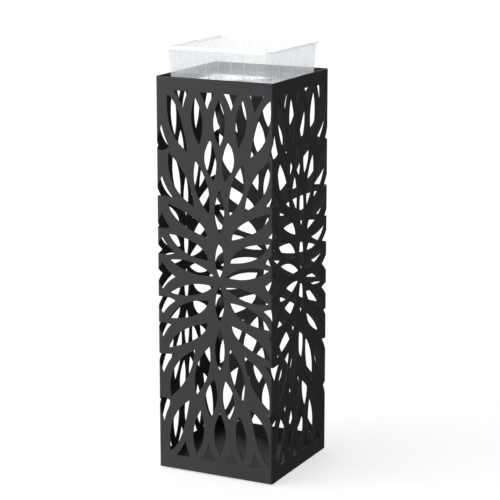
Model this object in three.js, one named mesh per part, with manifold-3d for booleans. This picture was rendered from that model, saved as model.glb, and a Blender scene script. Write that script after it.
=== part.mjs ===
// Square umbrella stand: a tall tube of laser-cut sheet steel on a shallow base pan, with four small
// feet and a clear plastic drip tray that lifts straight out through the mouth.
// Millimetres, +Z up. The origin is on the floor, under the middle of the stand. The front is -Y.
import * as THREE from "three";
import { mergeVertices } from "three/addons/utils/BufferGeometryUtils.js";
import Module from "manifold-3d";

// ---------------------------------------------------------------- driving dimensions

const BODY_SIDE = 155; // outside width and depth of the tube
const BODY_HEIGHT = 488; // of the tube itself, from its bottom edge to its mouth
const FOOT_PROUD = 2; // how far the feet hold the tube's bottom edge off the floor
const SHEET = 1.2; // steel sheet of the tube
const CORNER_GAP = 0.3; // between two panels where they meet at a corner
const TOP_BAND = 16; // plain strip along the tube's top edge
const BOTTOM_BAND = 17.5; // the same along its bottom edge
const BURST_SHIFTS = [7, 3, 4, 6]; // middle of each panel's burst right of the panel's middle, front panel first

const PAN_SHEET = 1.2; // steel sheet of the base pan
const PAN_FLOOR_RISE = 3.3; // underside of the pan's floor above the tube's bottom edge
const PAN_FLANGE = 9; // height of the pan's upturned sides, over its floor's underside
const PAN_CORNER_RELIEF = 3; // each flange stops this far short of the pan's corner
const PAN_GAP = 0.3; // between the pan and the panels around it

const FOOT_RADIUS = 6.5;
const FOOT_CHAMFER = 0.8;
const FOOT_INSET = 5; // from the inside of the pan's flange to the foot's edge
const FOOT_GAP = 0.3; // between a foot and the pan over it

const TRAY_CLEARANCE = 6.3; // between the tray's rim and the tube's walls, all round
const TRAY_HEIGHT = 46;
const TRAY_WALL = 1.6;
const TRAY_FLOOR = 1.8;
const TRAY_DRAFT = 4.3; // degrees by which each wall leans in towards the floor
const TRAY_CORNER_RADIUS = 7; // on the rim
const RIM_HEIGHT = 4;
const RIM_PROUD = 1.5; // how far the rim stands out from the wall
const TRAY_RAISED = 35; // the rim's height over the mouth, with the tray half lifted out

const CURVE_STEPS = 6; // straight pieces in one side of an opening
const CORNER_STEPS = 5; // straight pieces in one rounded corner of the tray
const CUT_MARGIN = 1; // how far a cutting solid runs past the sheet

const bodyBottom = FOOT_PROUD;
const mouth = bodyBottom + BODY_HEIGHT;
const half = BODY_SIDE / 2;
const panUnderside = bodyBottom + PAN_FLOOR_RISE;
const panHalf = half - SHEET - PAN_GAP;
const traySide = BODY_SIDE - 2 * SHEET - 2 * TRAY_CLEARANCE; // over the tray's rim

// ---------------------------------------------------------------- materials

const blackSteel = () =>
  new THREE.MeshStandardMaterial({ color: 0x2b2b2d, roughness: 0.6, metalness: 0.3 });
const blackRubber = () => new THREE.MeshStandardMaterial({ color: 0x141414, roughness: 0.9 });
const clearPlastic = () =>
  new THREE.MeshStandardMaterial({
    color: 0xe6ebee,
    roughness: 0.12,
    transparent: true,
    opacity: 0.35,
  });

// ---------------------------------------------------------------- solids

const wasm = await Module();
wasm.setup();

/** A closed three.js geometry as a solid that can be joined and cut. */
function solidOf(geometry) {
  const bare = geometry.clone();
  bare.deleteAttribute("normal");
  bare.deleteAttribute("uv");
  const merged = mergeVertices(bare, 1e-4);
  return new wasm.Manifold(
    new wasm.Mesh({
      numProp: 3,
      vertProperties: new Float32Array(merged.attributes.position.array),
      triVerts: new Uint32Array(merged.index.array),
    }),
  );
}

/** A solid as a three.js geometry. */
function geometryOf(solid) {
  const { numProp, vertProperties, triVerts, numVert } = solid.getMesh();
  const positions = new Float32Array(numVert * 3);
  for (let i = 0; i < numVert; i++) {
    positions.set(vertProperties.subarray(i * numProp, i * numProp + 3), i * 3);
  }
  const geometry = new THREE.BufferGeometry();
  geometry.setAttribute("position", new THREE.BufferAttribute(positions, 3));
  geometry.setIndex(new THREE.BufferAttribute(new Uint32Array(triVerts), 1));
  geometry.computeVertexNormals();
  return geometry;
}

const join = (solids) => solids.reduce((whole, next) => whole.add(next));
const cut = (solid, cutters) => cutters.reduce((left, cutter) => left.subtract(cutter), solid);

function mesh(name, geometry, material) {
  const made = new THREE.Mesh(geometry, material);
  made.name = name;
  return made;
}

/** A flat shape made solid from z = bottom to z = top. */
function upright(shape, bottom, top) {
  const options = { depth: top - bottom, bevelEnabled: false, curveSegments: CORNER_STEPS };
  return new THREE.ExtrudeGeometry(shape, options).translate(0, 0, bottom);
}

// ---------------------------------------------------------------- the cut pattern

// The pattern runs once round the tube, and every panel has one burst of it: leaf-shaped openings
// that fan out above and below mid-height. Only the upper right quarter of a burst is listed; the rest
// mirrors it. In this drawing "across" runs from the burst's middle line to the seam where it meets
// the next burst, and "up" runs from mid-height to the plain band.
const DRAWN_ACROSS = 77.5;
const DRAWN_UP = 227;

/**
 * One opening: corners [across, up], each with the bow of the side that starts there. A bow is
 * [height, share]: how far the side stands out to the left of its chord, and how far along the
 * chord it stands out most. A missing bow is a straight side.
 */
function leaf(from, to, leftBow, rightBow) {
  return [
    { at: from, bow: leftBow },
    { at: to, bow: [rightBow[0], 1 - rightBow[1]] },
  ];
}

const QUARTER_LEAVES = [
  // outer fan, under the top band
  leaf([69, 222], [42, 154], [11, 0.55], [6.5, 0.35]),
  leaf([32, 221], [26.5, 164], [7.5, 0.5], [7, 0.5]),
  // middle fan
  leaf([68, 152], [34, 88.5], [12.5, 0.5], [7.5, 0.5]),
  leaf([32, 145], [14, 82], [9.5, 0.5], [7.5, 0.5]),
  leaf([12.5, 171], [7.5, 122.5], [10, 0.5], [6, 0.5]),
  // inner fan, whose leaves lie almost level
  leaf([69.5, 90], [16.5, 52.5], [8.5, 0.4], [8.5, 0.65]),
  leaf([68.5, 52.5], [14.5, 24.5], [8.5, 0.45], [9.5, 0.6]),
  leaf([67, 20.5], [8, 6.5], [6.5, 0.5], [7, 0.5]),
  // small openings with a flat side on the top band
  [
    { at: [60.5, 227], bow: [-0.8, 0.5] },
    { at: [48, 206.5], bow: [-0.8, 0.5] },
    { at: [41, 227] },
  ],
  [
    { at: [25.5, 227], bow: [-0.8, 0.5] },
    { at: [16, 206.5], bow: [-0.8, 0.5] },
    { at: [6, 227] },
  ],
];

// Upright leaves on the burst's middle line: bottom, top and half width.
const MIDDLE_LEAVES = [
  [164, 219, 8],
  [58.5, 112, 6.5],
  [5, 49.5, 6],
];

// Openings on the seam, as corners [distance from the seam, up], which fill the room between bursts.
const SEAM_OPENINGS = [
  [
    { at: [0, 186], bow: [-1, 0.5] },
    { at: [10.5, 158.5], bow: [0.5, 0.5] },
    { at: [0, 154], bow: [0.5, 0.5] },
    { at: [-10.5, 158.5], bow: [-1, 0.5] },
  ],
  [
    { at: [0, 123.5], bow: [-1.5, 0.5] },
    { at: [15.5, 97], bow: [-1.5, 0.5] },
    { at: [-15.5, 97], bow: [-1.5, 0.5] },
  ],
  [
    { at: [0, 78], bow: [-1, 0.5] },
    { at: [11, 60.5], bow: [1.5, 0.5] },
    { at: [-11, 60.5], bow: [-1, 0.5] },
  ],
  [
    { at: [0, 48], bow: [-1.5, 0.5] },
    { at: [17.5, 30], bow: [1.5, 0.5] },
    { at: [0, 26.5], bow: [1.5, 0.5] },
    { at: [-17.5, 30], bow: [-1.5, 0.5] },
  ],
];

// The four-pointed opening on the seam at mid-height: half width, half height and how far its sides bow in.
const STAR = { across: 17.5, up: 17, bow: 1.5 };

/** The control point of the curve that gives a side its bow. */
function bowPoint(start, end, [height, share]) {
  const run = [end[0] - start[0], end[1] - start[1]];
  const length = Math.hypot(run[0], run[1]);
  const along = 2 * share - 0.5;
  return [
    start[0] + run[0] * along - (run[1] / length) * 2 * height,
    start[1] + run[1] * along + (run[0] / length) * 2 * height,
  ];
}

/** An opening as a list of sides, each { start, control }, with control absent on a straight side. */
function sidesOf(corners) {
  return corners.map(({ at, bow }, i) => ({
    start: at,
    control: bow && bowPoint(at, corners[(i + 1) % corners.length].at, bow),
  }));
}

/** The same sides after move has been put on every point. */
function moved(sides, move) {
  return sides.map(({ start, control }) => ({
    start: move(start),
    control: control && move(control),
  }));
}

/** The openings that belong to one burst, in the drawing's own units. */
function burstOpenings() {
  const openings = [];
  const mirror = (sides, flipAcross, flipUp) =>
    moved(sides, ([across, up]) => [across * flipAcross, up * flipUp]);
  for (const flipUp of [1, -1]) {
    for (const corners of QUARTER_LEAVES) {
      openings.push(mirror(sidesOf(corners), 1, flipUp), mirror(sidesOf(corners), -1, flipUp));
    }
    for (const [low, high, halfWidth] of MIDDLE_LEAVES) {
      const corners = leaf([0, high], [0, low], [halfWidth, 0.5], [halfWidth, 0.5]);
      openings.push(mirror(sidesOf(corners), 1, flipUp));
    }
  }
  return openings;
}

/** The openings on one seam, measured across from the seam. */
function seamOpenings() {
  const inward = [-STAR.bow, 0.5];
  const star = [
    { at: [0, STAR.up], bow: inward },
    { at: [STAR.across, 0], bow: inward },
    { at: [0, -STAR.up], bow: inward },
    { at: [-STAR.across, 0], bow: inward },
  ];
  const openings = [sidesOf(star)];
  for (const flipUp of [1, -1]) {
    for (const corners of SEAM_OPENINGS) {
      openings.push(moved(sidesOf(corners), ([across, up]) => [across, up * flipUp]));
    }
  }
  return openings;
}

/** A closed shape through an opening's sides. */
function shapeOf(sides) {
  const shape = new THREE.Shape();
  shape.moveTo(...sides[0].start);
  sides.forEach(({ control }, i) => {
    const end = sides[(i + 1) % sides.length].start;
    if (control) shape.quadraticCurveTo(...control, ...end);
    else shape.lineTo(...end);
  });
  return shape;
}

/** Where a panel's burst stands, round the tube from the middle of the front panel. */
const burstAt = (quarter) => quarter * BODY_SIDE + BURST_SHIFTS[(quarter + 8) % 4];

/** Where that burst meets the next one. */
const seamAt = (quarter) => (burstAt(quarter) + burstAt(quarter + 1)) / 2;

/** The openings that reach into one panel, placed on it: x from its middle, y from the floor. */
function panelShapes(quarter) {
  const patternHeight = BODY_HEIGHT - TOP_BAND - BOTTOM_BAND;
  const middle = bodyBottom + BOTTOM_BAND + patternHeight / 2;
  const raised = (up) => middle + (up * patternHeight) / 2 / DRAWN_UP;
  const shapes = [];
  for (const turn of [quarter - 1, quarter, quarter + 1]) {
    const roomRight = seamAt(turn) - burstAt(turn);
    const roomLeft = burstAt(turn) - seamAt(turn - 1);
    const aboutBurst = ([across, up]) => [
      burstAt(turn) + (across * (across > 0 ? roomRight : roomLeft)) / DRAWN_ACROSS,
      raised(up),
    ];
    const aboutSeam = ([across, up]) => [seamAt(turn) + across, raised(up)];
    shapes.push(
      ...burstOpenings().map((sides) => shapeOf(moved(sides, aboutBurst))),
      ...seamOpenings().map((sides) => shapeOf(moved(sides, aboutSeam))),
    );
  }
  return shapes.filter((shape) => {
    const reach = shape.getPoints(CURVE_STEPS).map(({ x }) => x - quarter * BODY_SIDE);
    return Math.min(...reach) < half && Math.max(...reach) > -half;
  });
}

// ---------------------------------------------------------------- steel tube

/** One panel as it stands at the front, mitred at both ends, with its openings cut. */
function panelGeometry(quarter) {
  const end = half - CORNER_GAP / Math.SQRT2;
  const outline = new THREE.Shape();
  outline.moveTo(-end, -half);
  outline.lineTo(end, -half);
  outline.lineTo(end - SHEET, -half + SHEET);
  outline.lineTo(-end + SHEET, -half + SHEET);
  outline.closePath();
  const slab = solidOf(upright(outline, bodyBottom, mouth));
  const depth = SHEET + 2 * CUT_MARGIN;
  const cutters = panelShapes(quarter).map((shape) => {
    const options = { depth, bevelEnabled: false, curveSegments: CURVE_STEPS };
    const cutter = new THREE.ExtrudeGeometry(shape, options);
    cutter.rotateX(Math.PI / 2).translate(-quarter * BODY_SIDE, -half - CUT_MARGIN + depth, 0);
    return solidOf(cutter);
  });
  return geometryOf(cut(slab, cutters));
}

function makeTube() {
  const tube = new THREE.Group();
  ["front_panel", "right_panel", "back_panel", "left_panel"].forEach((name, quarter) => {
    const wall = mesh(name, panelGeometry(quarter), blackSteel());
    wall.rotation.z = (quarter * Math.PI) / 2;
    tube.add(wall);
  });
  return tube;
}

// ---------------------------------------------------------------- base pan

function makeBasePan() {
  const side = 2 * panHalf;
  const floor = new THREE.BoxGeometry(side, side, PAN_SHEET);
  floor.translate(0, 0, panUnderside + PAN_SHEET / 2);
  const pieces = [solidOf(floor)];
  for (let quarter = 0; quarter < 4; quarter++) {
    const flange = new THREE.BoxGeometry(side - 2 * PAN_CORNER_RELIEF, PAN_SHEET, PAN_FLANGE);
    flange.translate(0, -panHalf + PAN_SHEET / 2, panUnderside + PAN_FLANGE / 2);
    flange.rotateZ((quarter * Math.PI) / 2);
    pieces.push(solidOf(flange));
  }
  return mesh("base_pan", geometryOf(join(pieces)), blackSteel());
}

// ---------------------------------------------------------------- feet

function makeFeet() {
  const feet = new THREE.Group();
  const top = panUnderside - FOOT_GAP;
  const profile = [
    new THREE.Vector2(0, 0),
    new THREE.Vector2(FOOT_RADIUS - FOOT_CHAMFER, 0),
    new THREE.Vector2(FOOT_RADIUS, FOOT_CHAMFER),
    new THREE.Vector2(FOOT_RADIUS, top),
    new THREE.Vector2(0, top),
  ];
  const pad = new THREE.LatheGeometry(profile, 24).rotateX(Math.PI / 2);
  const place = panHalf - PAN_SHEET - FOOT_INSET - FOOT_RADIUS;
  for (const [name, x, y] of [
    ["front_left", -1, -1],
    ["front_right", 1, -1],
    ["back_right", 1, 1],
    ["back_left", -1, 1],
  ]) {
    const foot = mesh(`foot_${name}`, pad, blackRubber());
    foot.position.set(x * place, y * place, 0);
    feet.add(foot);
  }
  return feet;
}

// ---------------------------------------------------------------- drip tray

function roundedSquare(side, radius) {
  const reach = side / 2;
  const flat = reach - radius;
  const shape = new THREE.Shape();
  shape.moveTo(-flat, -reach);
  shape.lineTo(flat, -reach);
  shape.absarc(flat, -flat, radius, -Math.PI / 2, 0);
  shape.absarc(flat, flat, radius, 0, Math.PI / 2);
  shape.absarc(-flat, flat, radius, Math.PI / 2, Math.PI);
  shape.absarc(-flat, -flat, radius, Math.PI, 1.5 * Math.PI);
  return shape;
}

// How far a wall leans in for each millimetre down.
const wallLean = Math.tan(THREE.MathUtils.degToRad(TRAY_DRAFT));

/** A block of rounded square section whose sides lean in by the tray's draft below z = top. */
function drafted(side, radius, bottom, top) {
  const block = upright(roundedSquare(side, radius), bottom, top);
  const positions = block.attributes.position;
  for (let i = 0; i < positions.count; i++) {
    const narrower = 1 - (2 * (top - positions.getZ(i)) * wallLean) / side;
    positions.setX(i, positions.getX(i) * narrower);
    positions.setY(i, positions.getY(i) * narrower);
  }
  return block;
}

/** The tray, with its floor's underside at z = 0. */
function makeDripTray() {
  const wallSide = traySide - 2 * RIM_PROUD;
  const wallRadius = TRAY_CORNER_RADIUS - RIM_PROUD;
  const insideSide = wallSide - 2 * TRAY_WALL;
  const insideRadius = wallRadius - TRAY_WALL;
  const walls = solidOf(drafted(wallSide, wallRadius, 0, TRAY_HEIGHT));
  const rim = solidOf(
    upright(roundedSquare(traySide, TRAY_CORNER_RADIUS), TRAY_HEIGHT - RIM_HEIGHT, TRAY_HEIGHT),
  );
  const cavityTop = TRAY_HEIGHT + CUT_MARGIN;
  const cavitySide = insideSide + 2 * CUT_MARGIN * wallLean;
  const cavity = solidOf(drafted(cavitySide, insideRadius, TRAY_FLOOR, cavityTop));
  return mesh("drip_tray", geometryOf(cut(join([walls, rim]), [cavity])), clearPlastic());
}

// ---------------------------------------------------------------- assembly

const stand = new THREE.Group();
stand.add(makeTube(), makeBasePan(), makeFeet());

const tray = makeDripTray();
tray.position.z = mouth + TRAY_RAISED - TRAY_HEIGHT;
stand.add(tray);

export default stand;
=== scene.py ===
# %% [markdown]
# # A square umbrella stand in cut sheet steel
#
# The stand is a tall square tube of thin sheet steel, cut through by a laser with a pattern of
# leaves and powder-coated black. A shallow pan closes its foot, four rubber feet keep it off the
# floor, and a clear plastic drip tray lifts out of its mouth.
#
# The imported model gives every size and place. This lesson makes the finished pieces around it:
# first the studio, then the finishes, then one piece at a time.

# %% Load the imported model
import math

import bmesh
import bpy
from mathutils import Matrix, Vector


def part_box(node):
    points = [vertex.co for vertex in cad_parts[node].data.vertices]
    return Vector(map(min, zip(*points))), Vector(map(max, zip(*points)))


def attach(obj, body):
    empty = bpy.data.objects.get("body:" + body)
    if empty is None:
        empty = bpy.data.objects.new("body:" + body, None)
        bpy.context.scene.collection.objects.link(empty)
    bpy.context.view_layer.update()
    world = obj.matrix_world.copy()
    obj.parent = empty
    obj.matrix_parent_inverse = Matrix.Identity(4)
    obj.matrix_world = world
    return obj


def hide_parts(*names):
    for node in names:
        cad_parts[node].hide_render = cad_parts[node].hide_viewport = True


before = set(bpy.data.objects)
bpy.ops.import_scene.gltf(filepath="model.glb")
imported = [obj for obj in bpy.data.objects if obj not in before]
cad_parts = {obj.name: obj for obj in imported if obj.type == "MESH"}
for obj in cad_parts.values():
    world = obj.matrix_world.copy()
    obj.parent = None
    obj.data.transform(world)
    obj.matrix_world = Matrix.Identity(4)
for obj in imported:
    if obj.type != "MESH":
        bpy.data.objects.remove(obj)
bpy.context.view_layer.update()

MM = 0.001
front_low, front_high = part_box("front_panel")
HALF = -front_low.y  # from the middle of the tube to the outside of a wall
TUBE_BOTTOM = front_low.z
MOUTH = front_high.z
SHEET = front_high.y - front_low.y
print("tube", round(2 * HALF / MM, 2), "wide, sheet", round(SHEET / MM, 2), "mm")


def added(name, data):
    """A new object in the scene, with this mesh, curve or camera as its data."""
    made = bpy.data.objects.new(name, data)
    bpy.context.scene.collection.objects.link(made)
    return made


# %% [markdown]
# ## The camera
#
# The stand is seen from a little above and from the right of its front, from a little over two
# metres away through a long lens, so that its upright edges stay almost parallel.

# %% Place the camera
VIEW_ROUND = math.radians(26.56)  # from the front, round to the right
VIEW_DOWN = math.radians(12.93)
VIEW_DISTANCE = 2.3127  # metres, as are the next two
AIM_ACROSS = 0.00806
AIM_HEIGHT = 0.2697
LENS = 135.12  # millimetres, on a sensor this wide:
SENSOR = 36
FARTHEST = 50  # metres that the camera sees

camera_data = bpy.data.cameras.new("camera")
camera_data.lens = LENS
camera_data.sensor_width = SENSOR
camera_data.clip_end = FARTHEST
camera = added("camera", camera_data)
back = Vector(
    (
        math.sin(VIEW_ROUND) * math.cos(VIEW_DOWN),
        -math.cos(VIEW_ROUND) * math.cos(VIEW_DOWN),
        math.sin(VIEW_DOWN),
    )
)
right = Vector((math.cos(VIEW_ROUND), math.sin(VIEW_ROUND), 0))
camera.location = back * VIEW_DISTANCE + right * AIM_ACROSS + Vector((0, 0, AIM_HEIGHT))
camera.rotation_euler = (math.pi / 2 - VIEW_DOWN, 0, VIEW_ROUND)
bpy.context.scene.camera = camera
bpy.context.scene.view_settings.view_transform = "Standard"
print("camera at", [round(v, 3) for v in camera.location])


# %% [markdown]
# ## Sums as expressions
#
# Both a finish and a Geometry Nodes tree are made of nodes wired together, and most of those
# nodes only add or multiply. A small class wraps one output socket and lets Python's own signs
# add the Math nodes, so that a formula reads as a formula. Every other node comes from one
# method, which takes its type, its settings and the values of its sockets.


# %% A wire and the board it is on
class Board:
    """A node tree that nodes are added to."""

    def __init__(self, tree):
        self.tree = tree

    def node(self, kind, settings=None, sockets=None, output=0):
        """Adds a node. Settings come first, because some of them change its sockets."""
        made = self.tree.nodes.new(kind)
        for name, value in (settings or {}).items():
            setattr(made, name, value)
        for key, value in (sockets or {}).items():
            self.plug(value, made.inputs[key])
        return Wire(self, made, made.outputs[output]) if len(made.outputs) else made

    def plug(self, value, socket):
        """Links a wire or a list of wires to a socket, or sets the socket to a plain value."""
        if isinstance(value, (list, tuple)) and any(isinstance(v, Wire) for v in value):
            for one in value:
                self.tree.links.new(one.socket, socket)
        elif isinstance(value, Wire):
            self.tree.links.new(value.socket, socket)
        else:
            socket.default_value = value


class Wire:
    """One output socket. Python's signs on it add Math nodes."""

    def __init__(self, board, made, socket):
        self.board = board
        self.made = made
        self.socket = socket

    def out(self, name):
        return Wire(self.board, self.made, self.made.outputs[name])

    def math(self, operation, *values):
        sockets = dict(enumerate(values))
        return self.board.node("ShaderNodeMath", {"operation": operation}, sockets)

    def __add__(self, other):
        return self.math("ADD", self, other)

    def __sub__(self, other):
        return self.math("SUBTRACT", self, other)

    def __rsub__(self, other):
        return self.math("SUBTRACT", other, self)

    def __mul__(self, other):
        return self.math("MULTIPLY", self, other)

    def __truediv__(self, other):
        return self.math("DIVIDE", self, other)

    def __gt__(self, other):
        return self.math("GREATER_THAN", self, other)

    def __lt__(self, other):
        return self.math("LESS_THAN", self, other)

    def __neg__(self):
        return self.math("MULTIPLY", self, -1.0)

    def __abs__(self):
        return self.math("ABSOLUTE", self)

    __radd__ = __add__

    def most(self, other):
        return self.math("MAXIMUM", self, other)

    def least(self, other):
        return self.math("MINIMUM", self, other)

    def floor(self):
        return self.math("FLOOR", self)

    def sin(self):
        return self.math("SINE", self)

    def cos(self):
        return self.math("COSINE", self)


# %% [markdown]
# ## The finishes
#
# The steel wears a matt black powder coat. Powder melts into a skin with a fine grain, about half
# a millimetre across, over a coarser ripple called orange peel, about three millimetres across.
# Its tone and sheen drift a little over a few centimetres. Noise on the piece's own coordinates
# gives all of this.


# %% Powder coat
def new_material(name):
    """A material with one Principled shader, its board and that shader."""
    material = bpy.data.materials.new(name)
    material.use_nodes = True
    board = Board(material.node_tree)
    shader = material.node_tree.nodes["Principled BSDF"]
    return material, board, shader


def noise(board, place, per_metre, detail=2.0, roughness=0.5):
    """Noise from 0 to 1, with about this many lumps in a metre."""
    sockets = {"Vector": place, "Scale": per_metre, "Detail": detail, "Roughness": roughness}
    return board.node("ShaderNodeTexNoise", None, sockets)


def grade(board, amount, dark, light):
    """A colour between two, by an amount from 0 to 1."""
    sockets = {0: amount, 6: dark, 7: light}  # counted from 0, sockets 6 and 7 are its colours
    return board.node("ShaderNodeMix", {"data_type": "RGBA"}, sockets, 2)


def rippled(board, height, strength, distance):
    """A normal that follows the bumps of a height."""
    sockets = {"Strength": strength, "Distance": distance, "Height": height}
    return board.node("ShaderNodeBump", None, sockets)


COAT_DARK = (0.0092, 0.0088, 0.0100, 1)
COAT_LIGHT = (0.0200, 0.0192, 0.0215, 1)
GRAIN_PER_METRE = 2200.0
PEEL_PER_METRE = 320.0
DRIFT_PER_METRE = 30.0
COAT_ROUGHNESS = 0.46
COAT_BUMP = 0.12 * MM
COAT_MIRROR = 0.32
COAT_SHEEN = (0.97, 0.95, 1.0, 1)

powder_coat, board, shader = new_material("powder_coat")
place = board.node("ShaderNodeTexCoord").out("Object")
grain = noise(board, place, GRAIN_PER_METRE, roughness=0.6)
peel = noise(board, place, PEEL_PER_METRE)
drift = noise(board, place, DRIFT_PER_METRE, detail=3.0, roughness=0.6)

# The slow drift counts for most of the tone, and the last number centres the sum.
tone = grain * 0.4 + peel * 0.3 + drift * 0.9 - 0.3
board.plug(grade(board, tone, COAT_DARK, COAT_LIGHT), shader.inputs["Base Color"])
board.plug(COAT_ROUGHNESS + grain * 0.10 + drift * 0.16, shader.inputs["Roughness"])
bump = rippled(board, grain * 0.3 + peel, strength=0.5, distance=COAT_BUMP)
board.plug(bump, shader.inputs["Normal"])
shader.inputs["Specular IOR Level"].default_value = COAT_MIRROR
shader.inputs["Specular Tint"].default_value = COAT_SHEEN
print("made", powder_coat.name)

# %% [markdown]
# The feet are soft black rubber: darker and duller than the coat, with a coarser grain from the
# mould and a trace of pale dust.

# %% Rubber
RUBBER = (0.010, 0.010, 0.010, 1)
RUBBER_DUSTY = (0.022, 0.021, 0.020, 1)
MOULD_GRAIN_PER_METRE = 900.0
DUST_PER_METRE = 160.0
RUBBER_ROUGHNESS = 0.78
RUBBER_BUMP = 0.1 * MM

rubber, board, shader = new_material("rubber")
place = board.node("ShaderNodeTexCoord").out("Object")
grain = noise(board, place, MOULD_GRAIN_PER_METRE)
dust = noise(board, place, DUST_PER_METRE, detail=3.0, roughness=0.6)
board.plug(grade(board, dust, RUBBER, RUBBER_DUSTY), shader.inputs["Base Color"])
board.plug(RUBBER_ROUGHNESS + grain * 0.14, shader.inputs["Roughness"])
bump = rippled(board, grain, strength=0.3, distance=RUBBER_BUMP)
board.plug(bump, shader.inputs["Normal"])
print("made", rubber.name)

# %% [markdown]
# The tray is thin, faintly milky plastic. Each skin of such a wall does three things to light:
# most goes straight through, some is scattered to the front and to the back alike, and some is
# mirrored, more so at a flat angle. Four shaders give these, and three mixes share the light out
# between them. The plastic looks denser where it is thick, at its ribs and its rim, so an
# attribute of the mesh raises the scattered and the mirrored share there. On the floor and the
# foot of the walls the same attribute is partly thickness and partly painted light: it makes them
# milkier and whiter, a painted reflection of white on the floor and painted light on the walls
# where the tube shades them. Flow lines from the mould ripple its skin a little.

# %% Milky plastic
MILKY_THIN = (0.79, 0.84, 0.88, 1)
# The colour and scattered share of dense plastic: real at the ribs and the rim, partly painted light
# on the floor and the foot of the walls.
MILKY_THICK_AND_PAINTED_LIGHT = (0.98, 0.98, 0.98, 1)
THIN_SHARE = 0.17  # scattered by one skin of a wall
THICK_AND_PAINTED_LIGHT_SHARE = 0.44
THICK_GLOSS = 0.09  # mirrored by a thick part, seen head on
THIN_GLOSS = 0.004
EDGE_ON_POWER = 5  # how suddenly the mirror brightens at a flat angle
FLOW_PER_METRE = 60.0
FLOW_SHARE = 0.06  # how far the scattered share drifts with the flow
FLOW_BUMP = 0.5 * MM
SKIN_ROUGHNESS = 0.08

clear_plastic, board, shader = new_material("clear_plastic")
clear_plastic.node_tree.nodes.remove(shader)
place = board.node("ShaderNodeTexCoord").out("Object")
flow = noise(board, place, FLOW_PER_METRE)
bump = rippled(board, flow, strength=0.08, distance=FLOW_BUMP)
# Density from the mesh: thickness at the ribs and the rim, partly painted light on the floor and the
# foot of the walls.
thick = board.node("ShaderNodeAttribute", {"attribute_name": "thick"}, None, "Fac")
edge_on = board.node("ShaderNodeLayerWeight", None, {"Blend": 0.5}, "Facing")
mirrored = edge_on.math("POWER", edge_on, EDGE_ON_POWER) + THIN_GLOSS + thick * THICK_GLOSS
scattered = THIN_SHARE + thick * (THICK_AND_PAINTED_LIGHT_SHARE - THIN_SHARE) + (flow - 0.5) * FLOW_SHARE
tint = grade(board, thick, MILKY_THIN, MILKY_THICK_AND_PAINTED_LIGHT)
front = board.node("ShaderNodeBsdfDiffuse", None, {"Color": tint})
behind = board.node("ShaderNodeBsdfTranslucent", None, {"Color": tint})
milk = board.node("ShaderNodeMixShader", None, {0: 0.5, 1: front, 2: behind})
clear = board.node("ShaderNodeBsdfTransparent")
body = board.node("ShaderNodeMixShader", None, {0: scattered, 1: clear, 2: milk})
sockets = {"Color": (1, 1, 1, 1), "Roughness": SKIN_ROUGHNESS, "Normal": bump}
gloss = board.node("ShaderNodeBsdfAnisotropic", None, sockets)
skin = board.node("ShaderNodeMixShader", None, {0: mirrored, 1: body, 2: gloss})
board.plug(skin, clear_plastic.node_tree.nodes["Material Output"].inputs["Surface"])
print("made", clear_plastic.name)

# %% [markdown]
# ## The cut pattern
#
# Each wall has one burst of leaves, drawn here as a quarter and mirrored both ways. "Across" runs
# from the burst's middle line to the seam where the next burst begins, and "up" from mid-height
# to the plain band. A leaf has two bowed sides, so a curve with one handle a side is the
# natural way to draw it: it stays smooth however finely it is cut into a mesh.

# %% Draw one burst
DRAWN_ACROSS = 77.5  # the drawing is in millimetres
DRAWN_UP = 227.0
TOP_BAND = 16.0 * MM
BOTTOM_BAND = 17.5 * MM
CHORD = 2.2  # length of one straight piece of a curved side
FEWEST_CHORDS = 6  # in a side, however short it is


def leaf(start, end, left_bow, right_bow):
    """Two corners, each with the bow of the side that begins there."""
    return [(start, left_bow), (end, (right_bow[0], 1 - right_bow[1]))]


QUARTER_LEAVES = [
    # outer fan, under the top band
    leaf((69, 222), (42, 154), (11, 0.55), (6.5, 0.35)),
    leaf((32, 221), (26.5, 164), (7.5, 0.5), (7, 0.5)),
    # middle fan
    leaf((68, 152), (34, 88.5), (12.5, 0.5), (7.5, 0.5)),
    leaf((32, 145), (14, 82), (9.5, 0.5), (7.5, 0.5)),
    leaf((12.5, 171), (7.5, 122.5), (10, 0.5), (6, 0.5)),
    # inner fan, whose leaves lie almost level
    leaf((69.5, 90), (16.5, 52.5), (8.5, 0.4), (8.5, 0.65)),
    leaf((68.5, 52.5), (14.5, 24.5), (8.5, 0.45), (9.5, 0.6)),
    leaf((67, 20.5), (8, 6.5), (6.5, 0.5), (7, 0.5)),
    # small openings with a flat side on the band
    [((60.5, 227), (-0.8, 0.5)), ((48, 206.5), (-0.8, 0.5)), ((41, 227), None)],
    [((25.5, 227), (-0.8, 0.5)), ((16, 206.5), (-0.8, 0.5)), ((6, 227), None)],
]
MIDDLE_LEAVES = [(164, 219, 8), (58.5, 112, 6.5), (5, 49.5, 6)]  # bottom, top, half width
SEAM_OPENINGS = [
    [
        ((0, 186), (-1, 0.5)),
        ((10.5, 158.5), (0.5, 0.5)),
        ((0, 154), (0.5, 0.5)),
        ((-10.5, 158.5), (-1, 0.5)),
    ],
    [((0, 123.5), (-1.5, 0.5)), ((15.5, 97), (-1.5, 0.5)), ((-15.5, 97), (-1.5, 0.5))],
    [((0, 78), (-1, 0.5)), ((11, 60.5), (1.5, 0.5)), ((-11, 60.5), (-1, 0.5))],
    [
        ((0, 48), (-1.5, 0.5)),
        ((17.5, 30), (1.5, 0.5)),
        ((0, 26.5), (1.5, 0.5)),
        ((-17.5, 30), (-1.5, 0.5)),
    ],
]
STAR = [
    ((0, 17), (-1.5, 0.5)),
    ((17.5, 0), (-1.5, 0.5)),
    ((0, -17), (-1.5, 0.5)),
    ((-17.5, 0), (-1.5, 0.5)),
]


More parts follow.
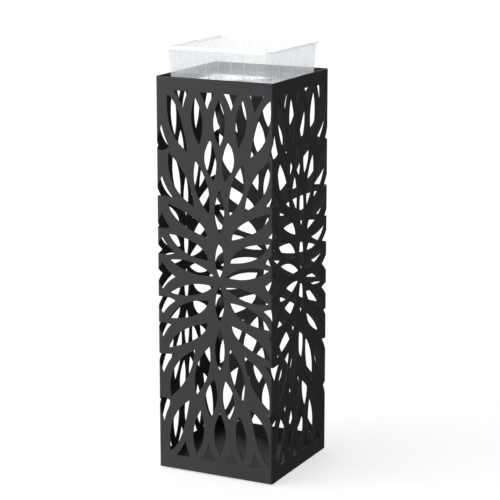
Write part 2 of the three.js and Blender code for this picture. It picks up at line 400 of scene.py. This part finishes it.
def bow_point(start, end, bow):
    """The point that pulls a straight side into its bow."""
    height, share = bow
    run = (end[0] - start[0], end[1] - start[1])
    length = math.hypot(*run)
    along = 2 * share - 0.5
    return (
        start[0] + run[0] * along - run[1] / length * 2 * height,
        start[1] + run[1] * along + run[0] / length * 2 * height,
    )


def sides_of(corners):
    """An opening as (corner, pull) pairs, one for each side; a straight side has no pull."""
    sides = []
    for i, (corner, bow) in enumerate(corners):
        following = corners[(i + 1) % len(corners)][0]
        sides.append((corner, bow and bow_point(corner, following, bow)))
    return sides


def moved(sides, move):
    """The same opening with every point of it moved."""
    return [(move(corner), pull and move(pull)) for corner, pull in sides]


def burst():
    """Every opening of one burst and of the seam on its right."""
    openings = [moved(sides_of(STAR), lambda p: (p[0] + DRAWN_ACROSS, p[1]))]
    for flip_up in (1, -1):
        for corners in QUARTER_LEAVES:
            for flip in (1, -1):
                openings.append(moved(sides_of(corners), lambda p: (p[0] * flip, p[1] * flip_up)))
        for low, high, half_width in MIDDLE_LEAVES:
            corners = leaf((0, high), (0, low), (half_width, 0.5), (half_width, 0.5))
            openings.append(moved(sides_of(corners), lambda p: (p[0], p[1] * flip_up)))
        for corners in SEAM_OPENINGS:
            openings.append(
                moved(sides_of(corners), lambda p: (p[0] + DRAWN_ACROSS, p[1] * flip_up))
            )
    return openings


def third(a, b):
    """Two thirds of the way from a to b, where a side with one pull has its cubic handle."""
    return (a[0] + (b[0] - a[0]) * 2 / 3, a[1] + (b[1] - a[1]) * 2 / 3)


def add_opening(curve, sides):
    """Adds one opening to a curve as a closed Bezier spline."""
    spline = curve.splines.new("BEZIER")
    spline.bezier_points.add(len(sides) - 1)
    spline.use_cyclic_u = True
    longest = 0
    for i, (corner, pull) in enumerate(sides):
        last = i == len(sides) - 1
        following = sides[(i + 1) % len(sides)][0]
        longest = max(longest, math.dist(corner, following))
        here = spline.bezier_points[i]
        there = spline.bezier_points[0 if last else i + 1]
        for point in (here, there):
            point.handle_left_type = point.handle_right_type = "FREE"
        here.co = (*corner, 0)
        here.handle_right = (*third(corner, pull or following), 0)
        there.handle_left = (*third(following, pull or corner), 0)
    spline.resolution_u = max(FEWEST_CHORDS, round(longest / CHORD))


drawing = bpy.data.curves.new("burst_drawing", "CURVE")
drawing.dimensions = "3D"
for opening in burst():
    add_opening(drawing, opening)
tube_drawing = added("tube_drawing", drawing)
print(len(drawing.splines), "openings in a burst")

# %% [markdown]
# ## The folded tube
#
# A real maker cuts the pattern in flat sheet, folds it at three corners and welds the fourth.
# The node tree works in the same order. It repeats the burst along the flat sheet, fills the
# sheet around the openings, gives it thickness, and folds every point round the corners. The
# sheet is filled as narrow tiles at each fold, so that the metal there has enough edges to bend
# smoothly. A tile and its neighbour would cancel each other if they were filled together, so
# every second tile is filled on its own and the two halves are joined.

# %% Build the folding tree
BURST_SHIFTS = [7, 3, 4, 6]  # each burst's middle right of its wall's middle, front wall first
BEND_RADIUS = 1.8 * MM  # outside of a fold
BEND_TILES = 6
WALLS = 4
BURSTS = WALLS + 1  # the seam at the start of the sheet belongs to the burst before it
WELD = 2e-6  # points closer than this are one point
NUDGE = 1e-4  # keeps a whole number from being rounded down to the one below


def tree_input(tree, kind, name):
    """Gives a node tree an input."""
    tree.interface.new_socket(name=name, in_out="INPUT", socket_type=kind)


def folding_tree():
    """Geometry Nodes that turn the drawing of one burst into the whole folded tube."""
    tree = bpy.data.node_groups.new("folded_tube", "GeometryNodeTree")
    tree_input(tree, "NodeSocketGeometry", "Burst")
    tree_input(tree, "NodeSocketFloat", "Side")
    tree_input(tree, "NodeSocketFloat", "Bottom")
    tree_input(tree, "NodeSocketFloat", "Top")
    tree_input(tree, "NodeSocketFloat", "Top band")
    tree_input(tree, "NodeSocketFloat", "Bottom band")
    tree_input(tree, "NodeSocketFloat", "Sheet")
    tree_input(tree, "NodeSocketFloat", "Bend radius")
    tree_input(tree, "NodeSocketMaterial", "Finish")
    tree.interface.new_socket(name="Tube", in_out="OUTPUT", socket_type="NodeSocketGeometry")
    b = Board(tree)
    given = b.node("NodeGroupInput")
    side, bottom, top = given.out("Side"), given.out("Bottom"), given.out("Top")
    sheet, radius = given.out("Sheet"), given.out("Bend radius")
    half = side * 0.5
    flat = side - radius * 2
    start = radius - half

    def point(x, y, z):
        return b.node("ShaderNodeCombineXYZ", None, {"X": x, "Y": y, "Z": z})

    def position():
        return b.node("ShaderNodeSeparateXYZ", None, {0: b.node("GeometryNodeInputPosition")})

    # The burst, repeated along the sheet, each half stretched to meet its neighbour.
    poly = b.node("GeometryNodeResampleCurve", {"mode": "EVALUATED"}, {"Curve": given.out("Burst")})
    sockets = {0: poly, "Amount": BURSTS}
    copies = b.node("GeometryNodeDuplicateElements", {"domain": "SPLINE"}, sockets)
    number = copies.out("Duplicate Index")

    def burst_at(first):
        """The middle of burst number + first, along the sheet."""
        shifts = [BURST_SHIFTS[(i + first) % WALLS] * MM for i in range(BURSTS)]
        chosen = b.node("GeometryNodeIndexSwitch", {"data_type": "FLOAT"})
        while len(chosen.made.index_switch_items) < BURSTS:
            chosen.made.index_switch_items.new()
        b.plug(number, chosen.made.inputs["Index"])
        for i, shift in enumerate(shifts):
            chosen.made.inputs[i + 1].default_value = shift
        return (number + first) * side + chosen

    before, middle, after = burst_at(-2), burst_at(-1), burst_at(0)
    drawn = position()
    across, up = drawn.out("X"), drawn.out("Y")
    is_right = across > 0
    room = is_right * (after - middle) * 0.5 + (1 - is_right) * (middle - before) * 0.5
    drawn_low, drawn_high = bottom + given.out("Bottom band"), top - given.out("Top band")
    height = (drawn_low + drawn_high) * 0.5 + up * (drawn_high - drawn_low) / (2 * DRAWN_UP)
    along = middle + across * room / DRAWN_ACROSS
    sockets = {0: copies, "Position": point(along, height, 0)}
    placed = b.node("GeometryNodeSetPosition", None, sockets)

    # The tiles: one flat wall and then the narrow tiles of its fold, for every wall.
    tiles_per_wall = BEND_TILES + 1
    row = b.node("GeometryNodeMeshLine", None, {"Count": WALLS * tiles_per_wall})
    index = b.node("GeometryNodeInputIndex")
    wall = (index / tiles_per_wall + NUDGE).floor()
    step = index - wall * tiles_per_wall
    is_fold = step > 0.5
    tile_width = radius * (2 / BEND_TILES)
    width = is_fold * tile_width + (1 - is_fold) * flat
    left = start + wall * side + is_fold * (flat + (step - 1) * tile_width)
    centre = point(left + width * 0.5, (bottom + top) * 0.5, 0)
    row = b.node("GeometryNodeSetPosition", None, {0: row, "Position": centre})
    unit = b.node("GeometryNodeCurvePrimitiveQuadrilateral", None, {"Width": 1.0, "Height": 1.0})
    is_odd = index - (index * 0.5 + NUDGE).floor() * 2 > 0.5
    face = position()
    reach = face.out("X") - start
    face_wall = (reach / side).floor()
    rest = reach - face_wall * side
    face_step = (((rest - flat) / tile_width).floor() + 1).most(0)
    face_index = face_wall * tiles_per_wall + face_step
    face_odd = face_index - (face_index * 0.5 + NUDGE).floor() * 2 > 0.5
    outside = (reach < 0) + (reach > side * WALLS)
    skins = []
    tile_size = point(width, top - bottom, 1)
    for chosen, wrong in ((is_odd, 1 - face_odd), (1 - is_odd, face_odd)):
        sockets = {"Points": row, "Selection": chosen, "Instance": unit, "Scale": tile_size}
        tiles = b.node("GeometryNodeInstanceOnPoints", None, sockets)
        tiles = b.node("GeometryNodeRealizeInstances", None, {0: tiles})
        both = b.node("GeometryNodeJoinGeometry", None, {0: [tiles, placed]})
        filled = b.node("GeometryNodeFillCurve", {"mode": "NGONS"}, {0: both})
        sockets = {0: filled, "Selection": outside + wrong}
        skins.append(b.node("GeometryNodeDeleteGeometry", {"domain": "FACE"}, sockets))
    skin = b.node("GeometryNodeJoinGeometry", None, {0: skins})
    skin = b.node("GeometryNodeMergeByDistance", None, {0: skin, "Distance": WELD})

    # Thickness: the skin is pushed out from behind, which leaves its walls, and its back is added.
    behind = b.node("GeometryNodeSetPosition", None, {0: skin, "Offset": point(0, 0, -sheet)})
    sockets = {"Mesh": behind, "Offset": point(0, 0, 1), "Offset Scale": sheet, "Individual": False}
    pushed = b.node("GeometryNodeExtrudeMesh", {"mode": "FACES"}, sockets)
    backs = b.node("GeometryNodeFlipFaces", None, {0: behind})
    slab = b.node("GeometryNodeJoinGeometry", None, {0: [pushed, backs]})
    slab = b.node("GeometryNodeMergeByDistance", None, {0: slab, "Distance": WELD})
    at_start = abs(position().out("X") - start) < WELD
    at_end = abs(position().out("X") - start - side * WALLS) < WELD
    sockets = {0: slab, "Selection": at_start + at_end}
    slab = b.node("GeometryNodeDeleteGeometry", {"domain": "FACE"}, sockets)

    # The fold: each point turns about the middle of its corner's bend.
    spot = position()
    spot_wall = ((spot.out("X") + half) / side).floor()
    from_middle = spot.out("X") - spot_wall * side
    to_bend = half - radius
    turn = (abs(from_middle) - to_bend).most(0) / radius * (math.pi / 4)
    arm = radius + spot.out("Z")
    sign = (from_middle > 0) * 2 - 1
    x = sign * (abs(from_middle).least(to_bend) + arm * turn.sin())
    y = -(to_bend + arm * turn.cos())
    quarter = spot_wall * (math.pi / 2)
    turned_x = x * quarter.cos() - y * quarter.sin()
    turned_y = x * quarter.sin() + y * quarter.cos()
    folded = point(turned_x, turned_y, spot.out("Y"))
    shell = b.node("GeometryNodeSetPosition", None, {0: slab, "Position": folded})
    shell = b.node("GeometryNodeMergeByDistance", None, {0: shell, "Distance": WELD})
    whole = b.node("GeometryNodeRealizeInstances", None, {0: shell})
    coated = b.node("GeometryNodeSetMaterial", None, {0: whole, "Material": given.out("Finish")})
    b.node("NodeGroupOutput", None, {0: coated})
    return tree


# %% Run the tree and keep its mesh
def make_plain(worker, tree, values, name):
    """Runs a tree on an object with these inputs, and returns its result as a plain mesh object."""
    modifier = worker.modifiers.new("nodes", "NODES")
    modifier.node_group = tree
    for item in tree.interface.items_tree:
        if item.in_out == "INPUT" and item.name in values:
            modifier[item.identifier] = values[item.name]
    bpy.context.view_layer.update()
    evaluated = worker.evaluated_get(bpy.context.evaluated_depsgraph_get())
    mesh = bpy.data.meshes.new_from_object(evaluated)
    mesh.name = name
    bpy.data.objects.remove(worker)
    return added(name, mesh)


tube_sizes = {
    "Side": 2 * HALF,
    "Bottom": TUBE_BOTTOM,
    "Top": MOUTH,
    "Top band": TOP_BAND,
    "Bottom band": BOTTOM_BAND,
    "Sheet": SHEET,
    "Bend radius": BEND_RADIUS,
    "Finish": powder_coat,
}
tube = make_plain(tube_drawing, folding_tree(), tube_sizes, "folded_tube")
print("tube", len(tube.data.vertices), "points,", len(tube.data.polygons), "faces")


# %% [markdown]
# Powder rounds every cut edge a little. A narrow bevel on the sharp edges gives the coat its thin
# lit line along each opening, and the bevel's hardened normals keep the flat walls flat.


# %% Soften the cut edges
SHARP_ANGLE = math.radians(35)  # an edge that turns by more than this is a sharp one
TUBE_EDGE = 0.16 * MM
PAN_EDGE = 0.2 * MM


def soften(piece, width, segments):
    """Bevels the sharp edges, and keeps the flat faces shaded flat."""
    bevel = piece.modifiers.new("soft_edges", "BEVEL")
    bevel.width = width
    bevel.segments = segments
    bevel.limit_method = "ANGLE"
    bevel.angle_limit = SHARP_ANGLE
    bevel.harden_normals = True
    bevel.use_clamp_overlap = True
    for polygon in piece.data.polygons:
        polygon.use_smooth = True
    bpy.context.view_layer.update()
    evaluated = piece.evaluated_get(bpy.context.evaluated_depsgraph_get())
    finished = bpy.data.meshes.new_from_object(evaluated)
    piece.modifiers.clear()
    piece.data = finished


def report_mesh(piece):
    """Prints the size of a mesh and how many of its edges are open."""
    solid = bmesh.new()
    solid.from_mesh(piece.data)
    loose = sum(1 for edge in solid.edges if len(edge.link_faces) != 2)
    triangles = sum(len(face.verts) - 2 for face in solid.faces)
    litres = solid.calc_volume() * 1000
    solid.free()
    print(f"{piece.name}: {triangles} triangles, {loose} open edges, {litres:.4f} litres")


report_mesh(tube)
soften(tube, TUBE_EDGE, 1)
report_mesh(tube)
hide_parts("front_panel", "right_panel", "back_panel", "left_panel")
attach(tube, "stand")

# %% [markdown]
# ## The base pan
#
# The pan is a square of the same sheet with its four sides folded up and spot-welded inside the
# tube. Its corners are notched, so that the sides can fold without tearing. The flat blank is a
# grid in the shape of a cross, and the same rule that bends one row of points bends them all.

# %% Fold the pan
pan_low, pan_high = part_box("base_pan")
PAN_HALF = pan_high.x
PAN_BOTTOM = pan_low.z
PAN_TOP = pan_high.z
PAN_BEND = 2.2 * MM
PAN_NOTCH = 3.0 * MM
PAN_FLAT = PAN_HALF - PAN_BEND  # from the middle to where a side begins to bend
PAN_ARC = PAN_BEND * math.pi / 2
BEND_STEPS = 6
SAME = 1e-9  # lengths that differ by less than this are equal


def bent(distance):
    """Where a point of the blank ends up, as (distance from the middle, height over the floor)."""
    size = abs(distance)
    if size <= PAN_FLAT:
        return distance, 0.0
    if size - PAN_FLAT < PAN_ARC:
        turn = (size - PAN_FLAT) / PAN_BEND
        reach = PAN_FLAT + PAN_BEND * math.sin(turn)
        return math.copysign(reach, distance), PAN_BEND * (1 - math.cos(turn))
    return math.copysign(PAN_HALF, distance), PAN_BEND + size - PAN_FLAT - PAN_ARC


def pan_stations():
    """Lines of the grid across the blank, from one folded side to the other."""
    side = PAN_TOP - PAN_BOTTOM - PAN_BEND
    half = [PAN_FLAT + PAN_ARC * i / BEND_STEPS for i in range(BEND_STEPS + 1)]
    half.append(PAN_FLAT + PAN_ARC + side)
    return [-v for v in reversed(half)] + half


notch = PAN_FLAT - PAN_NOTCH
lines = sorted({*pan_stations(), -notch, notch})
blank = bmesh.new()
points = {}
for i, u in enumerate(lines):
    for j, v in enumerate(lines):
        if min(abs(u), abs(v)) > notch + SAME and max(abs(u), abs(v)) > PAN_FLAT + SAME:
            continue
        x, rise_x = bent(u)
        y, rise_y = bent(v)
        points[i, j] = blank.verts.new((x, y, PAN_BOTTOM + max(rise_x, rise_y)))
for i in range(len(lines) - 1):
    for j in range(len(lines) - 1):
        corners = [(i, j), (i + 1, j), (i + 1, j + 1), (i, j + 1)]
        if all(c in points for c in corners):
            blank.faces.new([points[c] for c in corners])
pan_mesh = bpy.data.meshes.new("folded_pan")
blank.to_mesh(pan_mesh)
blank.free()
pan = added("folded_pan", pan_mesh)
sheet = pan.modifiers.new("sheet", "SOLIDIFY")
sheet.thickness = SHEET
sheet.offset = 1
sheet.use_even_offset = True
pan.data.materials.append(powder_coat)
soften(pan, PAN_EDGE, 2)
report_mesh(pan)
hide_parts("base_pan")
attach(pan, "stand")

# %% [markdown]
# ## The feet
#
# Four moulded rubber pads are stuck under the pan. One pad is turned from a profile with a
# rounded foot and a shallow dish underneath, and Geometry Nodes set it at the four corners.

# %% Turn one pad and repeat it
foot_low, foot_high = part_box("foot_front_right")
FOOT_RADIUS = (foot_high.x - foot_low.x) / 2
FOOT_TOP = foot_high.z
FOOT_PLACE = (foot_high.x + foot_low.x) / 2
FOOT_ROUND = 0.8 * MM
FOOT_DISH = 0.35 * MM  # how deep its underside is hollowed
FOOT_RING = 2.4 * MM  # from its side in to the hollow
DISH_STEPS = 4
ROUND_STEPS = 6
FOOT_SIDES = 48


def foot_profile():
    """Points (radius, height) from the middle of the underside to the middle of the top."""
    hollow = FOOT_RADIUS - FOOT_RING
    shares = [i / DISH_STEPS for i in range(DISH_STEPS + 1)]
    profile = [(hollow * share, FOOT_DISH * (1 - share**4)) for share in shares]
    turns = [math.pi / 2 * i / ROUND_STEPS for i in range(ROUND_STEPS + 1)]
    for turn in turns:
        across = FOOT_RADIUS - FOOT_ROUND + FOOT_ROUND * math.sin(turn)
        profile.append((across, FOOT_ROUND - FOOT_ROUND * math.cos(turn)))
    for turn in turns:
        across = FOOT_RADIUS - FOOT_ROUND / 2 + FOOT_ROUND / 2 * math.cos(turn)
        profile.append((across, FOOT_TOP - FOOT_ROUND / 2 + FOOT_ROUND / 2 * math.sin(turn)))
    return [*profile, (0, FOOT_TOP)]


def smooth_piece(name, solid):
    """An object with a bmesh's faces, turned outwards and shaded smooth. The bmesh is used up."""
    bmesh.ops.recalc_face_normals(solid, faces=solid.faces)
    for face in solid.faces:
        face.smooth = True
    mesh = bpy.data.meshes.new(name)
    solid.to_mesh(mesh)
    solid.free()
    return added(name, mesh)


def turned(name, profile, steps):
    """A closed piece made by turning a profile about the upright axis."""
    solid = bmesh.new()
    angles = [2 * math.pi * i / steps for i in range(steps)]
    rings = []
    for across, height in profile:
        spots = [(across * math.cos(a), across * math.sin(a), height) for a in angles]
        if across < SAME:
            spots = [(0, 0, height)]
        rings.append([solid.verts.new(spot) for spot in spots])
    for lower, upper in zip(rings, rings[1:]):
        for i in range(steps):
            j = (i + 1) % steps
            quad = [lower[i % len(lower)], lower[j % len(lower)]]
            quad += [upper[j % len(upper)], upper[i % len(upper)]]
            solid.faces.new(list(dict.fromkeys(quad)))
    return smooth_piece(name, solid)


def corners_tree():
    """Geometry Nodes that set a pad at the four corners of a square."""
    tree = bpy.data.node_groups.new("feet_at_corners", "GeometryNodeTree")
    tree_input(tree, "NodeSocketGeometry", "Pad")
    tree_input(tree, "NodeSocketFloat", "Place")
    tree_input(tree, "NodeSocketMaterial", "Finish")
    tree.interface.new_socket(name="Feet", in_out="OUTPUT", socket_type="NodeSocketGeometry")
    b = Board(tree)
    given = b.node("NodeGroupInput")
    square = {"Width": given.out("Place") * 2, "Height": given.out("Place") * 2}
    outline = b.node("GeometryNodeCurvePrimitiveQuadrilateral", None, square)
    corners = b.node("GeometryNodeCurveToPoints", {"mode": "EVALUATED"}, {0: outline})
    sockets = {"Points": corners, "Instance": given.out("Pad")}
    feet = b.node("GeometryNodeInstanceOnPoints", None, sockets)
    feet = b.node("GeometryNodeRealizeInstances", None, {0: feet})
    feet = b.node("GeometryNodeSetMaterial", None, {0: feet, "Material": given.out("Finish")})
    b.node("NodeGroupOutput", None, {0: feet})
    return tree


pad = turned("pad", foot_profile(), FOOT_SIDES)
feet = make_plain(pad, corners_tree(), {"Place": FOOT_PLACE, "Finish": rubber}, "rubber_feet")
report_mesh(feet)
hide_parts("foot_front_left", "foot_front_right", "foot_back_right", "foot_back_left")
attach(feet, "stand")

# %% [markdown]
# ## The drip tray
#
# The tray is one moulding: a thin box with leaning walls, round corners and a band for a rim.
# Fine upright ribs run down the inside of its walls. A closed skin is lofted through level
# sections, from the underside, up the outside, over the rim and down the inside to the floor. The
# ribs are part of that skin, because a separate rib inside clear plastic would show the joint.

# %% Loft the tray
tray_low, tray_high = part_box("drip_tray")
TRAY_HEIGHT = tray_high.z - tray_low.z
RIM_HALF = tray_high.x
RIM_HEIGHT = 4.0 * MM
RIM_PROUD = 1.5 * MM
TRAY_WALL = 1.3 * MM
TRAY_FLOOR = 1.6 * MM
TRAY_LEAN = math.tan(math.radians(4.3))
RIM_CORNER = 7.0 * MM
RIB_SPACING = 17.0 * MM
RIB_WIDTH = 0.7 * MM
RIB_HEIGHT = 0.45 * MM
RIBS_EACH_SIDE = 3  # on each side of a wall's middle rib
UNDER_ROUND = 2.5 * MM  # where the walls meet the underside
FLOOR_ROUND = 1.6 * MM  # where they meet the floor, inside
RIM_ROUND = 0.5 * MM
UNDER_RIM_STEP = 0.25 * MM  # the wall swells by this just under the rim
# Partly painted light. The floor's density stands in partly for its reflection of white, and the same
# milkiness, fading up the walls to the next height, lightens them where the tube shades them; the
# walls themselves are no thicker there.
FLOOR_HAZE_AND_PAINTED_LIGHT = 0.4  # how dense the floor looks, beside a rib
PAINTED_LIGHT_REACH = 26.0 * MM  # the walls thin out from the floor up to this height
CORNER_STEPS = 10
UNDER_STEPS = 6
FLOOR_STEPS = 5
RIM_STEPS = 4
RIB_POINTS = (-5, -3, -2, -1, 0, 1, 2, 3, 5)  # across a rib, in thirds of its width
QUARTERS = [(1, 0), (0, 1), (-1, 0), (0, -1)]  # cosine and sine of each quarter turn
TRAY_SHARP = math.radians(50)
MERGE = 1e-7  # corner points closer than this are one point


def rib_stations():
    """Places along a wall where the section needs a point, closer together at each rib."""
    places = []
    for i in range(-RIBS_EACH_SIDE, RIBS_EACH_SIDE + 1):
        middle = i * RIB_SPACING
        places += [middle + RIB_WIDTH * k / 3 for k in RIB_POINTS]
    return places


def rib_rise(place):
    """How far a rib stands in from the wall at this place along it."""
    nearest = round(place / RIB_SPACING) * RIB_SPACING
    return RIB_HEIGHT * math.exp(-(((place - nearest) / RIB_WIDTH) ** 2) * 2)


def section(half, corner, height, ribbed, thick=0.0):
    """One level ring of the tray, as (x, y, z, density). The density is thickness, and on the floor
    and the foot of the walls partly painted light. Ribs stand in by their height times ribbed.
    """
    ring = []
    flat = half - corner
    for c, s in QUARTERS:
        local = []
        for place in rib_stations():
            rise = ribbed * rib_rise(place)
            local.append((place, -half + rise, max(thick, rise / RIB_HEIGHT)))
        for step in range(CORNER_STEPS + 1):
            turn = math.pi / 2 * step / CORNER_STEPS
            local.append((flat + corner * math.sin(turn), -flat - corner * math.cos(turn), thick))
        ring += [(x * c - y * s, x * s + y * c, height, density_and_painted_light) for x, y, density_and_painted_light in local]
    return ring


def tray_rings():
    """Every ring of the tray's skin, from the underside's edge round to the floor's edge."""
    wall_half = RIM_HALF - RIM_PROUD
    wall_corner = RIM_CORNER - RIM_PROUD
    top = tray_high.z
    low = tray_low.z
    rings = []

    def leaning(z):
        return (top - z) * TRAY_LEAN

    # Painted light: milkier near the floor and fading out upwards, to lighten the walls where the
    # tube shades them.
    def painted_light_at(z):
        return FLOOR_HAZE_AND_PAINTED_LIGHT * max(0, 1 - (z - low) / PAINTED_LIGHT_REACH)

    # Round under the outside, then up it.
    for step in range(UNDER_STEPS + 1):
        turn = math.pi / 2 * step / UNDER_STEPS
        z = low + UNDER_ROUND * (1 - math.cos(turn))
        half = wall_half - leaning(z) - UNDER_ROUND * (1 - math.sin(turn))
        corner = wall_corner - UNDER_ROUND * (1 - math.sin(turn))
        rings.append(section(half, corner, z, 0, FLOOR_HAZE_AND_PAINTED_LIGHT))
    for share in (0.1, 0.2, 0.35, 0.5, 0.7, 0.97):
        z = low + UNDER_ROUND + (TRAY_HEIGHT - RIM_HEIGHT - UNDER_ROUND) * share
        rings.append(section(wall_half - leaning(z), wall_corner, z, 0, painted_light_at(z)))

    # Over the rim, whose lower, upper and inner edges are rounded.
    under_rim = top - RIM_HEIGHT
    swollen = wall_half - leaning(under_rim) + UNDER_RIM_STEP
    rings.append(section(swollen, wall_corner + UNDER_RIM_STEP, under_rim, 0))
    for centre_z, first in ((under_rim + RIM_ROUND, 0), (top - RIM_ROUND, 1)):
        for step in range(RIM_STEPS + 1):
            turn = math.pi / 2 * (step / RIM_STEPS + first - 1)
            z = centre_z + RIM_ROUND * math.sin(turn)
            inset = RIM_ROUND * (1 - math.cos(turn))
            rings.append(section(RIM_HALF - inset, RIM_CORNER - inset, z, 0, 1.0))
    inside = wall_half - TRAY_WALL
    inside_corner = wall_corner - TRAY_WALL
    for step in range(RIM_STEPS + 1):
        turn = math.pi / 2 * step / RIM_STEPS
        z = top - RIM_ROUND * (1 - math.cos(turn))
        outset = RIM_ROUND * (1 - math.sin(turn))
        rings.append(section(inside - leaning(z) + outset, inside_corner + outset, z, 0, 1.0))

    # Down the inside, then round to the floor.
    floor_top = low + TRAY_FLOOR
    for z, ribbed, thick in (
        (top - RIM_HEIGHT * 0.95, 0, 1),
        (top - RIM_HEIGHT, 0, 0),
        (top - RIM_HEIGHT * 1.5, 1, 0),
        (low + TRAY_HEIGHT * 0.5, 1, 0),
        (low + TRAY_HEIGHT * 0.35, 1, 0),
        (low + TRAY_HEIGHT * 0.2, 1, 0),
        (floor_top + FLOOR_ROUND * 1.6, 1, 0),
    ):
        density_and_painted_light = max(thick, painted_light_at(z))
        rings.append(section(inside - leaning(z), inside_corner, z, ribbed, density_and_painted_light))
    # The floor's density is partly its thickness and partly a painted reflection of white.
    for step in range(FLOOR_STEPS + 1):
        turn = math.pi / 2 * step / FLOOR_STEPS
        z = floor_top + FLOOR_ROUND * (1 - math.sin(turn))
        inset = FLOOR_ROUND * (1 - math.cos(turn))
        half = inside - leaning(z) - inset
        ribbed = 1 - step / FLOOR_STEPS
        rings.append(section(half, inside_corner - inset, z, ribbed, FLOOR_HAZE_AND_PAINTED_LIGHT))
    return rings


def lofted(name, rings):
    """A closed piece through rings of equal length, capped at both ends."""
    solid = bmesh.new()
    # A layer for the density, which is thickness and, on the floor and the foot of the walls, partly
    # painted light.
    density_and_painted_light = solid.verts.layers.float.new("thick")
    loops = []
    for ring in rings:
        loops.append([solid.verts.new(point[:3]) for point in ring])
        for vert, point in zip(loops[-1], ring):
            vert[density_and_painted_light] = point[3]
    count = len(loops[0])
    for lower, upper in zip(loops, loops[1:]):
        for i in range(count):
            j = (i + 1) % count
            solid.faces.new((lower[i], lower[j], upper[j], upper[i]))
    solid.faces.new(loops[0])
    solid.faces.new(loops[-1])
    bmesh.ops.remove_doubles(solid, verts=solid.verts, dist=MERGE)
    return smooth_piece(name, solid)


tray = lofted("clear_drip_tray", tray_rings())
tray.data.materials.append(clear_plastic)
tray.data.set_sharp_from_angle(angle=TRAY_SHARP)
report_mesh(tray)
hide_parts("drip_tray")
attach(tray, "tray")

# %% [markdown]
# ## The studio
#
# The stand is shown on plain white paper under soft white light. The sky around it holds the
# lights. The key is in front on the left, so the front wall is a dark grey and the right wall
# almost black. Weak lights stand on the right and overhead, and the tray's floor mirrors a white
# card behind it on the left. The camera itself, and light that comes through the tray, meet plain
# white. The paper has a little light of its own and sends none back onto the stand.

# %% Paper and light
PAPER_TONE = (0.40, 0.40, 0.40, 1)
PAPER_ROUGHNESS = 0.9
PAPER_MIRROR = 0.1
PAPER_GLOW = 0.64
REACH = 12.0  # metres from the stand to the paper's edges
FILL_LIGHT = 0.015
LIGHTS = [  # direction it comes from, strength, how narrow it is
    ((-0.76, -0.60, 0.25), 5.4, 4.0),  # the key, in front on the left
    ((0.95, -0.25, 0.15), 0.72, 1.5),  # a weak light on the right
    ((0.0, 0.0, 1.0), 0.35, 3.0),  # overhead
    ((-0.42, 0.88, 0.22), 2.6, 8.0),  # a white card behind on the left
]

world = bpy.data.worlds.new("studio")
world.use_nodes = True
bpy.context.scene.world = world
world.node_tree.nodes.clear()
board = Board(world.node_tree)
toward = board.node("ShaderNodeTexCoord").out("Generated")
amount = FILL_LIGHT
for direction, strength, narrow in LIGHTS:
    sockets = {0: toward, 1: Vector(direction).normalized()}
    facing = board.node("ShaderNodeVectorMath", {"operation": "DOT_PRODUCT"}, sockets, 1).most(0)
    amount = facing.math("POWER", facing, narrow) * strength + amount
light_path = board.node("ShaderNodeLightPath")
seen = light_path.out("Is Camera Ray").most(light_path.out("Is Transmission Ray"))
brightness = seen + (1 - seen) * amount
sky = board.node("ShaderNodeBackground", None, {"Color": (1, 1, 1, 1), "Strength": brightness})
board.node("ShaderNodeOutputWorld", None, {"Surface": sky})

paper, board, shader = new_material("paper")
shader.inputs["Base Color"].default_value = PAPER_TONE
shader.inputs["Roughness"].default_value = PAPER_ROUGHNESS
shader.inputs["Specular IOR Level"].default_value = PAPER_MIRROR
shader.inputs["Emission Color"].default_value = (1, 1, 1, 1)
shader.inputs["Emission Strength"].default_value = PAPER_GLOW
floor_mesh = bpy.data.meshes.new("floor")
edges = []
paper_corners = [(x * REACH, y * REACH, 0) for x, y in ((-1, -1), (1, -1), (1, 1), (-1, 1))]
floor_mesh.from_pydata(paper_corners, edges, [(0, 1, 2, 3)])
floor = added("floor", floor_mesh)
floor.data.materials.append(paper)
floor.visible_diffuse = False
floor.visible_glossy = False
